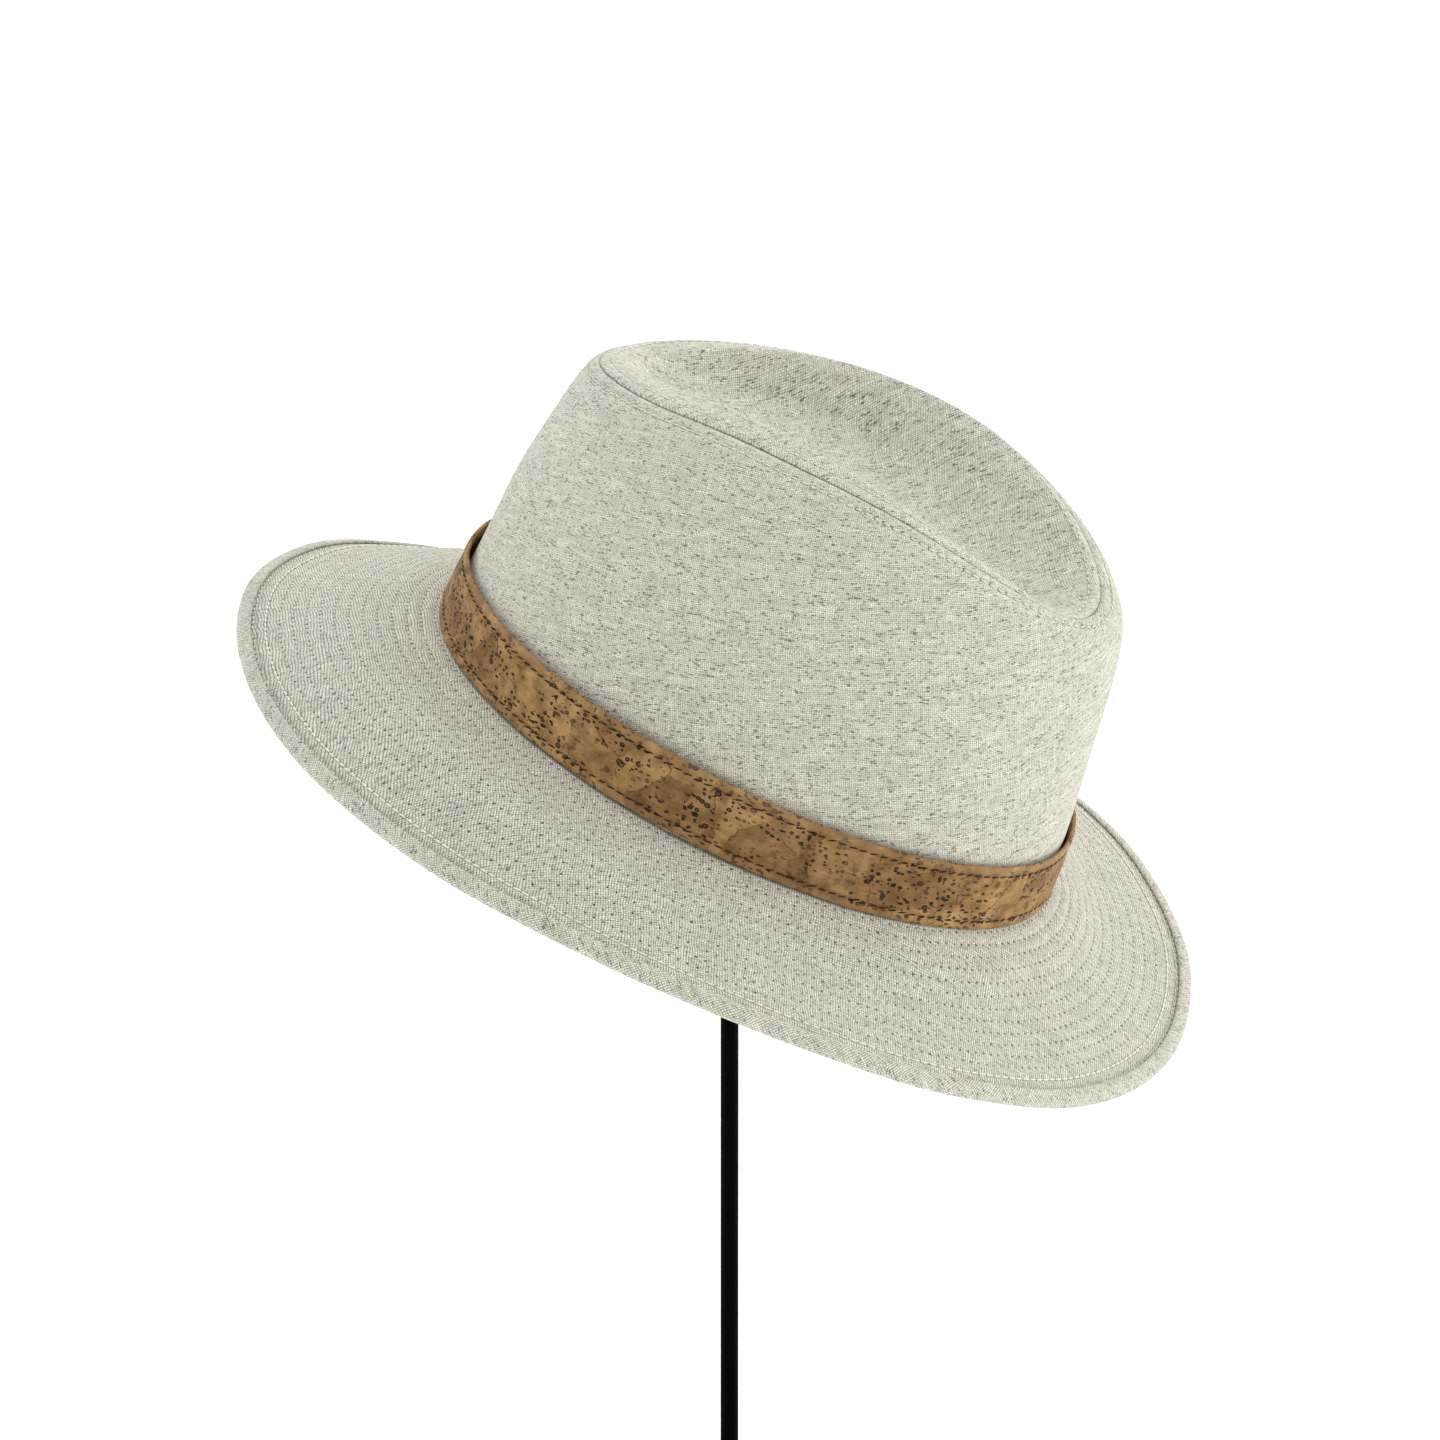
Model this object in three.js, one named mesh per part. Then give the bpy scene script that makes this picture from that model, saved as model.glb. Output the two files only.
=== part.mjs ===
// A safari hat of stitched cotton canvas with a cork hat band, hung on a plain black display stand.
// Millimetres, +Z up. The origin is the centre of the stand base's underside.
// The hat has its own frame: +X to the front of the brim, +Z up the crown, zero at the head opening.
// That frame is tipped nose down about Y, as the hat hangs on the stand's knob.
import * as THREE from "three";

// Driving dimensions of the hat
const CLOTH = 1.8; // wall of the crown, two cloths with an interlining between them
const BRIM_THICKNESS = 2;
const BAND_THICKNESS = 1.4;
const GAP = 0.3; // left between pieces that are sewn or laid against each other
const AROUND = 72; // steps around the head

// Driving dimensions of the stand
const NOSE_DOWN = THREE.MathUtils.degToRad(25.2);
const HEAD_OPENING_HEIGHT = 262; // of the hat's zero above the floor
const HAT_FORWARD = 5.5; // of the hat's zero in front of the rod
const BASE_RADIUS = 65;
const BASE_HEIGHT = 8;
const BASE_CHAMFER = 1.5;
const ROD_RADIUS = 2.8;
const ROD_SIDES = 24;
const KNOB_RADIUS = 13;
const KNOB_FLAT_RADIUS = 8;

// Each row is one closed ring around the head, from its half length and half width.
// shift moves it forward, height and tilt lift the whole ring and its front,
// arch lifts its sides and lowers both ends, egg narrows its front, wave is a threefold ripple.
const COLUMNS = ["length", "width", "shift", "height", "tilt", "arch", "egg", "wave"];

const CROWN_ROWS = table([
  // length, width, shift, height, tilt, arch, egg, wave
  [102, 86.7, 0, 2.2, 0, 0.4, 0.03, 0], // foot of the side wall
  [100.4, 82.4, -0.1, 25, 0, 0.2, 0.03, 0], // upper edge of the band
  [97.2, 77, -1.2, 55, 0, 1, 0.02, 0],
  [92.9, 71.5, -1.5, 82.8, 0.5, 1.8, 0.02, 0],
  [88.5, 60, -1.5, 96.8, 1.6, 6.4, 0.01, 0], // shoulder
  [80, 45.5, -1.5, 101.2, 2, 9.2, 0, 0], // crest of the rim
  [69, 37, -4, 94.5, 0.6, 7.2, 0.06, 0], // wall of the dent
  [56, 30, -8, 88.6, -0.6, 4, 0.2, 0], // foot of the dent's wall
  [32, 18, -12, 85.6, -0.4, 1.2, 0.2, 0],
  [0, 0, -14, 84.6, 0, 0, 0, 0], // middle of the dent
]);

// The seam between side wall and tip, in rows of CROWN_ROWS: low at the back, inside the rim in front
const SEAM = { mean: 4.41, front: 0.47, ends: -0.04 };

const BRIM_ROWS = table([
  // length, width, shift, height, tilt, arch, egg, wave
  [160.9, 139.6, -2.2, -23.5, 6.4, 2.2, -0.09, -4.4], // outer edge
  [131.9, 115.1, -1.1, -10, 0, 4.3, 0, 0],
  [115, 98.9, -0.4, -3, 0, 2, 0.02, 0],
  [104, 88.5, 0, 1.2, 0, 0.5, 0.03, 0], // under the lower edge of the band
  [100.2, 84.9, 0, 1.3, 0, 0.4, 0.03, 0], // head opening
]);

const BAND_ROWS = table([
  // length, width, shift, height, tilt, arch, egg, wave
  [104, 88.1, 0, 2, 0.1, 0.7, 0.03, 0],
  [103.7, 87.2, 0, 12.2, 0.4, 0.8, 0.03, 0],
  [103, 86, -0.1, 22.5, 0.6, 1, 0.03, 0],
]);

// Section of the binding, folded over the brim's edge: run in from the edge, rise from the brim's top
const BINDING_WIDTH = 5.2;
const BINDING_WALL = 1;

// Names the numbers of each row by the columns above
function table(rows) {
  return rows.map((row) => Object.fromEntries(COLUMNS.map((column, i) => [column, row[i]])));
}

function ringPoint(row, angle) {
  const cos = Math.cos(angle);
  const sin = Math.sin(angle);
  return new THREE.Vector3(
    row.shift + row.length * cos,
    row.width * sin * (1 - row.egg * cos),
    row.height + row.tilt * cos - row.arch * Math.cos(2 * angle) + row.wave * Math.cos(3 * angle),
  );
}

// A smooth surface through rings: place 0 is the first row, 1 the second, and so on
function surfacePoint(rows, place, angle) {
  const last = rows.length - 1;
  const start = Math.min(Math.floor(place), last - 1);
  const t = place - start;
  const ring = (i) => ringPoint(rows[Math.min(Math.max(i, 0), last)], angle);
  const [p0, p1, p2, p3] = [ring(start - 1), ring(start), ring(start + 1), ring(start + 2)];
  const blend = (a, b, c, d) =>
    0.5 * (2 * b + (c - a) * t + (2 * a - 5 * b + 4 * c - d) * t * t + (3 * b - a - 3 * c + d) * t ** 3);
  return new THREE.Vector3(
    blend(p0.x, p1.x, p2.x, p3.x),
    blend(p0.y, p1.y, p2.y, p3.y),
    blend(p0.z, p1.z, p2.z, p3.z),
  );
}

// Unit directions on a surface: along it to the next rows, and outwards from it
function surfaceFrame(rows, place, angle) {
  const step = 0.01;
  const last = rows.length - 1;
  const from = Math.max(place - step, 0);
  const to = Math.min(place + step, last);
  const along = surfacePoint(rows, to, angle).sub(surfacePoint(rows, from, angle));
  const around = surfacePoint(rows, place, angle + step).sub(surfacePoint(rows, place, angle - step));
  const out = new THREE.Vector3().crossVectors(around, along).normalize();
  return { along: along.normalize(), out };
}

function seamPlace(angle) {
  return SEAM.mean + SEAM.front * Math.cos(angle) + SEAM.ends * Math.cos(2 * angle);
}

// The place that lies a small distance along the surface from another one
function placeBeside(rows, place, angle, distance) {
  const step = 0.02;
  const length = surfacePoint(rows, place + step, angle).distanceTo(surfacePoint(rows, place, angle));
  return place + (step * distance) / length;
}

const angles = Array.from({ length: AROUND }, (_, i) => (2 * Math.PI * i) / AROUND);

// Builds a mesh from closed loops of points, each joined to the next.
// The loops turn counter-clockwise seen from the side that the next loop is on, unless flip is set.
function loopsToGeometry(loops, { closeLoops = false, ends = null, flip = false }) {
  const count = loops[0].length;
  const points = loops.flat();
  const faces = [];
  const joinLoops = (a, b) => {
    for (let i = 0; i < count; i += 1) {
      const next = (i + 1) % count;
      faces.push([a * count + i, a * count + next, b * count + next]);
      faces.push([a * count + i, b * count + next, b * count + i]);
    }
  };
  for (let i = 0; i + 1 < loops.length; i += 1) joinLoops(i, i + 1);
  if (closeLoops) joinLoops(loops.length - 1, 0);
  const fan = (point, loop, reversed) => {
    const middle = points.push(point) - 1;
    for (let i = 0; i < count; i += 1) {
      const a = loop * count + i;
      const b = loop * count + ((i + 1) % count);
      faces.push(reversed ? [middle, b, a] : [middle, a, b]);
    }
  };
  if (ends) fan(ends[0], 0, true);
  if (ends) fan(ends[1], loops.length - 1, false);
  if (flip) faces.forEach((face) => face.reverse());
  const geometry = new THREE.BufferGeometry();
  const positions = points.flatMap((p) => [p.x, p.y, p.z]);
  geometry.setAttribute("position", new THREE.Float32BufferAttribute(positions, 3));
  geometry.setIndex(faces.flat());
  geometry.computeVertexNormals();
  return geometry;
}

// A wall of even thickness under a surface, ring-shaped, between two places that may vary around it
function ringWall(rows, from, to, steps, thickness) {
  const outer = [];
  const inner = [];
  for (let i = 0; i <= steps; i += 1) {
    const placeAt = (angle) => from(angle) + ((to(angle) - from(angle)) * i) / steps;
    outer.push(angles.map((angle) => surfacePoint(rows, placeAt(angle), angle)));
    inner.push(angles.map((angle) => underPoint(rows, placeAt(angle), angle, thickness)));
  }
  return loopsToGeometry([...outer, ...inner.reverse()], { closeLoops: true });
}

function underPoint(rows, place, angle, thickness) {
  const { out } = surfaceFrame(rows, place, angle);
  return surfacePoint(rows, place, angle).addScaledVector(out, -thickness);
}

// Side wall of the crown, from the brim up to the seam
function crownSide() {
  const steps = 10;
  const top = (angle) => placeBeside(CROWN_ROWS, seamPlace(angle), angle, -GAP / 2);
  return ringWall(CROWN_ROWS, () => 0, top, steps, CLOTH);
}

// Tip of the crown, from the middle of the dent up over the rim and out to the seam
function crownTip() {
  const steps = 11;
  const last = CROWN_ROWS.length - 1;
  const from = last - 0.4;
  const to = (angle) => placeBeside(CROWN_ROWS, seamPlace(angle), angle, GAP / 2);
  const upper = [];
  const lower = [];
  for (let i = 0; i <= steps; i += 1) {
    const placeAt = (angle) => from + ((to(angle) - from) * i) / steps;
    upper.push(angles.map((angle) => surfacePoint(CROWN_ROWS, placeAt(angle), angle)));
    lower.push(angles.map((angle) => underPoint(CROWN_ROWS, placeAt(angle), angle, CLOTH)));
  }
  const { shift, height } = CROWN_ROWS[last];
  const ends = [new THREE.Vector3(shift, 0, height), new THREE.Vector3(shift, 0, height - CLOTH)];
  return loopsToGeometry([...upper, ...lower.reverse()], { ends, flip: true });
}

// Brim, from just inside the binding's fold to the head opening
function brim() {
  const steps = 8;
  const edge = (angle) => placeBeside(BRIM_ROWS, 0, angle, BINDING_WALL + GAP);
  return ringWall(BRIM_ROWS, edge, () => BRIM_ROWS.length - 1, steps, BRIM_THICKNESS);
}

// Cloth folded round the edge: over the brim, round the outside and back under it
function bindingSection() {
  const top = GAP + BINDING_WALL;
  const bottom = -BRIM_THICKNESS - top;
  const bevel = 1.3;
  return [
    { run: BINDING_WALL, rise: GAP },
    { run: BINDING_WALL, rise: -BRIM_THICKNESS - GAP },
    { run: BINDING_WIDTH, rise: -BRIM_THICKNESS - GAP },
    { run: BINDING_WIDTH, rise: bottom },
    { run: bevel, rise: bottom },
    { run: bevel / 4, rise: bottom + bevel },
    { run: 0, rise: -BRIM_THICKNESS / 2 },
    { run: bevel / 4, rise: top - bevel },
    { run: bevel, rise: top },
    { run: BINDING_WIDTH, rise: top },
    { run: BINDING_WIDTH, rise: GAP },
  ];
}

function brimBinding() {
  const loops = bindingSection().map(({ run, rise }) =>
    angles.map((angle) => underPoint(BRIM_ROWS, placeBeside(BRIM_ROWS, 0, angle, run), angle, -rise)),
  );
  return loopsToGeometry(loops, { closeLoops: true });
}

// Cork band around the foot of the crown
function hatBand() {
  const steps = 2;
  return ringWall(BAND_ROWS, () => 0, () => BAND_ROWS.length - 1, steps, BAND_THICKNESS);
}

// A solid turned about Z from a profile of radius and height that starts and ends on the axis
function turned(profile, sides) {
  return new THREE.LatheGeometry(profile.map(([r, z]) => new THREE.Vector2(r, z)), sides).rotateX(
    Math.PI / 2,
  );
}

function part(name, geometry, colour, roughness, metalness = 0) {
  const material = new THREE.MeshStandardMaterial({ color: colour, roughness, metalness });
  const mesh = new THREE.Mesh(geometry, material);
  mesh.name = name;
  return mesh;
}

const CANVAS = 0xd2cfc0;
const CORK = 0xa37a4e;
const BLACK = 0x0c0c0d;

const hat = new THREE.Group();
hat.position.set(HAT_FORWARD, 0, HEAD_OPENING_HEIGHT);
hat.rotation.y = NOSE_DOWN;
hat.add(part("crown_side", crownSide(), CANVAS, 0.9));
hat.add(part("crown_tip", crownTip(), CANVAS, 0.9));
hat.add(part("brim", brim(), CANVAS, 0.9));
hat.add(part("brim_binding", brimBinding(), CANVAS, 0.9));
hat.add(part("hat_band", hatBand(), CORK, 0.7));
hat.updateMatrixWorld(true);

// Lowest height of the tip's underside over the rod, which the knob's dome rises to
function tipHeightOverRod() {
  let best = { away: Infinity, height: 0 };
  const back = Math.PI;
  for (let place = 6; place < CROWN_ROWS.length - 1; place += 0.01) {
    const point = underPoint(CROWN_ROWS, place, back, CLOTH).applyMatrix4(hat.matrixWorld);
    const away = Math.abs(point.x);
    if (away < best.away) best = { away, height: point.z };
  }
  return best.height;
}

// Knob that the crown rests on: a dome over a flat underside
const DOME_STEPS = 8;
const domeSlope = NOSE_DOWN;
const domeCentre = tipHeightOverRod() - GAP - KNOB_RADIUS / Math.cos(domeSlope);
const knobUnderside = domeCentre - KNOB_RADIUS * 0.6;
const knobProfile = [
  [0, knobUnderside],
  [KNOB_FLAT_RADIUS, knobUnderside],
];
for (let i = 0; i <= DOME_STEPS; i += 1) {
  const rise = (Math.PI / 2) * (i / DOME_STEPS);
  knobProfile.push([KNOB_RADIUS * Math.cos(rise), domeCentre + KNOB_RADIUS * Math.sin(rise)]);
}
knobProfile[knobProfile.length - 1][0] = 0;

const rodProfile = [
  [0, BASE_HEIGHT + GAP],
  [ROD_RADIUS, BASE_HEIGHT + GAP],
  [ROD_RADIUS, knobUnderside - GAP],
  [0, knobUnderside - GAP],
];

const baseProfile = [
  [0, 0],
  [BASE_RADIUS, 0],
  [BASE_RADIUS, BASE_HEIGHT - BASE_CHAMFER],
  [BASE_RADIUS - BASE_CHAMFER, BASE_HEIGHT],
  [0, BASE_HEIGHT],
];

const stand = new THREE.Group();
stand.add(part("stand_base", turned(baseProfile, AROUND), BLACK, 0.5, 0.4));
stand.add(part("stand_rod", turned(rodProfile, ROD_SIDES), BLACK, 0.5, 0.4));
stand.add(part("stand_knob", turned(knobProfile, ROD_SIDES), BLACK, 0.6));

const safariHatOnStand = new THREE.Group();
safariHatOnStand.add(hat, stand);

export default safariHatOnStand;
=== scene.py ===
import math

import bpy
import numpy as np
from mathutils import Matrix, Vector, noise


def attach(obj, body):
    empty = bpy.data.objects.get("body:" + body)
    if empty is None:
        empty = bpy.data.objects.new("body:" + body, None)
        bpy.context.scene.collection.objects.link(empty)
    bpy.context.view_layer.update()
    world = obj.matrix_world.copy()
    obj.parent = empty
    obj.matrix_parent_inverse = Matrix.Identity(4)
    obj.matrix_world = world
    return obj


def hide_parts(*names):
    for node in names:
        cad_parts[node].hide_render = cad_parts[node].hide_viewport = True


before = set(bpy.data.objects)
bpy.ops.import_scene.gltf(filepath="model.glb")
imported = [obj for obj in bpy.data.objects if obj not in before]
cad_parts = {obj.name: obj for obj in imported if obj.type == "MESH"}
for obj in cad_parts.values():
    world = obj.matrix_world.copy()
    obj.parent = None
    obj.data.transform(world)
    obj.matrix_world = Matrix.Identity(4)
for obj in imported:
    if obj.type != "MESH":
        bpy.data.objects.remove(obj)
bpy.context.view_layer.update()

# The camera
# It stands 1.85 m from the head opening, a little above the brim and right of the hat's side.
# The rod stands upright in the picture and its foot lies below the frame.
HAT_ZERO = Vector((0.0055, 0, 0.262))
PIXELS_PER_METRE = 3290
DISTANCE = 1.85
azimuth, elevation = math.radians(26.1), math.radians(13.97)
back = Vector(
    (
        math.sin(azimuth) * math.cos(elevation),
        -math.cos(azimuth) * math.cos(elevation),
        math.sin(elevation),
    )
)
right = Vector((math.cos(azimuth), math.sin(azimuth), 0))
up = back.cross(right)
lens = bpy.data.cameras.new("camera")
lens.sensor_width = 36
lens.lens = 36 * PIXELS_PER_METRE * DISTANCE / 1440
lens.clip_start = 0.1
camera = bpy.data.objects.new("camera", lens)
bpy.context.collection.objects.link(camera)
bpy.context.scene.camera = camera
camera.location = HAT_ZERO + back * DISTANCE
aim = HAT_ZERO - right * (25.9 / PIXELS_PER_METRE) + up * (23.0 / PIXELS_PER_METRE)
camera.rotation_euler = (aim - camera.location).to_track_quat("-Z", "Y").to_euler()
bpy.context.scene.view_settings.view_transform = "Standard"


# The side wall of the crown
# A tapered tube of heathered cotton canvas on a stiff backing, cut as an arc, closed at the back.
# Its upper edge is sewn to the tip, low at the back and just inside the rim in front.
NOSE_DOWN = math.radians(25.2)
CLOTH = 1.8
AROUND = 360
ANGLE = np.linspace(-np.pi, np.pi, AROUND, endpoint=False)
# length, width, shift, height, tilt, arch, egg, wave in mm: the rings from the foot to the dent
CROWN_ROWS = [
    [102, 86.7, 0, 2.2, 0, 0.4, 0.03, 0],
    [100.4, 82.4, -0.1, 25, 0, 0.2, 0.03, 0],
    [97.2, 77, -1.2, 55, 0, 1, 0.02, 0],
    [92.9, 71.5, -1.5, 82.8, 0.5, 1.8, 0.02, 0],
    [88.5, 60, -1.5, 96.8, 1.6, 6.4, 0.01, 0],
    [80, 45.5, -1.5, 101.2, 2, 9.2, 0, 0],
    [69, 37, -4, 94.5, 0.6, 7.2, 0.06, 0],
    [56, 30, -8, 88.6, -0.6, 4, 0.2, 0],
    [32, 18, -12, 85.6, -0.4, 1.2, 0.2, 0],
    [0, 0, -14, 84.6, 0, 0, 0, 0],
]
SEAM_PLACE = 4.41 + 0.47 * np.cos(ANGLE) - 0.04 * np.cos(2 * ANGLE)


def rings(rows, places):
    """Points in mm on the smooth surface through rows: one ring for each row of places."""
    cos, sin = np.cos(ANGLE), np.sin(ANGLE)
    row_points = []
    for length, width, shift, height, tilt, arch, egg, wave in rows:
        x = shift + length * cos
        y = width * sin * (1 - egg * cos)
        z = height + tilt * cos - arch * np.cos(2 * ANGLE) + wave * np.cos(3 * ANGLE)
        row_points.append(np.stack([x, y, z], 1))
    row_points = np.array(row_points)
    last = len(rows) - 1
    places = np.broadcast_to(np.asarray(places, float), (len(places), AROUND))
    start = np.clip(np.floor(places).astype(int), 0, last - 1)
    t = (places - start)[..., None]
    column = np.arange(AROUND)
    p0, p1, p2, p3 = (row_points[np.clip(start + k, 0, last), column] for k in (-1, 0, 1, 2))
    cubic = 3 * p1 - p0 - 3 * p2 + p3
    return 0.5 * (2 * p1 + (p2 - p0) * t + (2 * p0 - 5 * p1 + 4 * p2 - p3) * t**2 + cubic * t**3)


def outwards(grid):
    """Unit normals of a grid of rings that run up or inwards."""
    around = np.roll(grid, -1, 1) - np.roll(grid, 1, 1)
    along = np.gradient(grid, axis=0)
    normal = np.cross(around, along)
    return normal / np.maximum(np.linalg.norm(normal, axis=2, keepdims=True), 1e-9)


def rumpled(grid, depth, size, seed):
    """The soft unevenness of cloth: the grid moved along its normals by smooth noise."""
    normal = outwards(grid)
    moved = grid.copy()
    for i, ring in enumerate(grid):
        for j, point in enumerate(ring):
            spot = Vector(point) / size + Vector((seed, 2 * seed, 0))
            moved[i, j] += normal[i, j] * depth * noise.noise(spot)
    return moved


def run_of(loops):
    """Distance of each loop from the first along the cloth, in mm."""
    steps = np.linalg.norm(np.diff(loops, axis=0), axis=2)
    return np.concatenate([np.zeros((1, loops.shape[1])), np.cumsum(steps, 0)])


STITCH_PITCH = 3.0
TOPSTITCHING = 4.0


def bump_at(distance, place, width):
    """A smooth bump of height 1 at a place, falling away over a width in mm."""
    return np.exp(-(((distance - place) / width) ** 2))


def seam_relief(distance):
    """Height in mm beside a seam: a groove at it, a swell over the turnings, a dip at stitches."""
    swell, groove = 0.14 * bump_at(distance, 2, 1.3), 0.34 * bump_at(distance, 0, 0.7)
    return swell - groove - 0.18 * bump_at(distance, TOPSTITCHING, 0.7)


def seam_map(loops, distance):
    """Stitches counted round the head in U. In V the seam is at -0.25 and its stitches at 0.5."""
    steps = np.linalg.norm(np.roll(loops, -1, 1) - loops, axis=2)
    share = np.hstack([np.zeros((len(steps), 1)), np.cumsum(steps, 1)]) / steps.sum(1)[:, None]
    row = np.argmin(np.abs(distance.mean(1) - TOPSTITCHING))
    v = np.clip(distance / TOPSTITCHING * 0.75 - 0.25, -0.25, 0.99)
    stitches = round(steps[row].sum() / STITCH_PITCH)
    return np.stack([share * stitches, np.hstack([v, v[:, :1]])], -1)


def crest_pinch(place):
    """Height in mm of the fold pressed into the crown's rim at its fifth row, along its sides."""
    return 0.95 * bump_at(place, 5, 0.13) * np.abs(np.sin(ANGLE)) ** 1.5


def placed(points):
    """From the hat's own frame in mm to the row frame in metres."""
    x, y, z = np.moveaxis(points, -1, 0) / 1000
    cos, sin = math.cos(NOSE_DOWN), math.sin(NOSE_DOWN)
    return np.stack([x * cos + z * sin, y, z * cos - x * sin], -1) + np.array(HAT_ZERO)


def wall(surface, thickness):
    """Loops of a cloth wall: up the outside, over a folded edge and down the inside."""
    normal = outwards(surface)
    inside = surface - normal * thickness
    edge = 0.3 * thickness
    along = np.gradient(surface, axis=0)
    along /= np.linalg.norm(along, axis=2, keepdims=True)
    first = (surface[0] + inside[0]) / 2 - along[0] * edge
    last = (surface[-1] + inside[-1]) / 2 + along[-1] * edge
    return np.concatenate([surface, last[None], inside[::-1], first[None]])


def round_head(loops):
    """Cloth laid round the head, in metres: the girth in U, the distance along the cloth in V."""
    middle = loops[len(loops) // 4]
    girth = np.linalg.norm(np.roll(middle, -1, 0) - middle, axis=1)
    u = np.broadcast_to(np.concatenate([[0], np.cumsum(girth)]), (len(loops), AROUND + 1))
    run = run_of(loops)
    return np.stack([u, np.hstack([run, run[:, :1]])], -1) / 1000


def in_plan(loops):
    """Cloth laid flat over the head, in metres: the hat's length in U and its width in V."""
    return np.concatenate([loops, loops[:, :1]], 1)[..., :2] / 1000


def sewn_piece(name, loops, maps, closed=True, poles=()):
    """A mesh of loops round the head. maps gives UV maps by name, a pair for each point."""
    count = len(loops)
    points = placed(loops).reshape(-1, 3)
    spans = count if closed else count - 1
    low = np.arange(spans)[:, None] * AROUND
    high = (np.arange(spans)[:, None] + 1) % count * AROUND
    j = np.arange(AROUND)[None]
    k = (j + 1) % AROUND
    faces = np.stack([low + j, low + k, high + k, high + j], -1).reshape(-1, 4).tolist()
    for loop, pole in poles:
        points = np.vstack([points, placed(np.asarray(pole, float))])
        for a, b in zip(j[0], k[0]):
            a, b = loop * AROUND + a, loop * AROUND + b
            faces.append((len(points) - 1, a, b) if loop else (len(points) - 1, b, a))
    mesh = bpy.data.meshes.new(name)
    mesh.from_pydata(points.tolist(), [], faces)
    for map_name, pair in maps.items():
        above = pair[(np.arange(spans) + 1) % count]
        pair = pair[:spans]
        corners = [pair[:, :-1], pair[:, 1:], above[:, 1:], above[:, :-1]]
        values = np.stack(corners, 2).reshape(-1).tolist()
        for loop, pole in poles:
            ring = loops[loop][:, :2] / 1000
            for a, b in zip(j[0], k[0]):
                first, second = (ring[a], ring[b]) if loop else (ring[b], ring[a])
                values += [pole[0] / 1000, pole[1] / 1000, *first, *second]
        mesh.uv_layers.new(name=map_name).data.foreach_set("uv", values)
    mesh.shade_smooth()
    piece = bpy.data.objects.new(name, mesh)
    bpy.context.collection.objects.link(piece)
    return piece


def linear(hex_colour):
    """A colour as Blender's shaders take it, from an sRGB hex value."""
    values = [int(hex_colour[i : i + 2], 16) / 255 for i in (0, 2, 4)]
    return [v / 12.92 if v < 0.04045 else ((v + 0.055) / 1.055) ** 2.4 for v in values] + [1]


def add(tree, kind, settings=None, out=0):
    """Adds a node. A setting is the node's own, a link if it is a socket, or an input's value."""
    node = tree.nodes.new(kind)
    for key, value in (settings or {}).items():
        if isinstance(key, str) and hasattr(node, key):
            setattr(node, key, value)
        elif isinstance(value, bpy.types.NodeSocket):
            tree.links.new(value, node.inputs[key])
        else:
            node.inputs[key].default_value = value
    return node.outputs[out]


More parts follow.
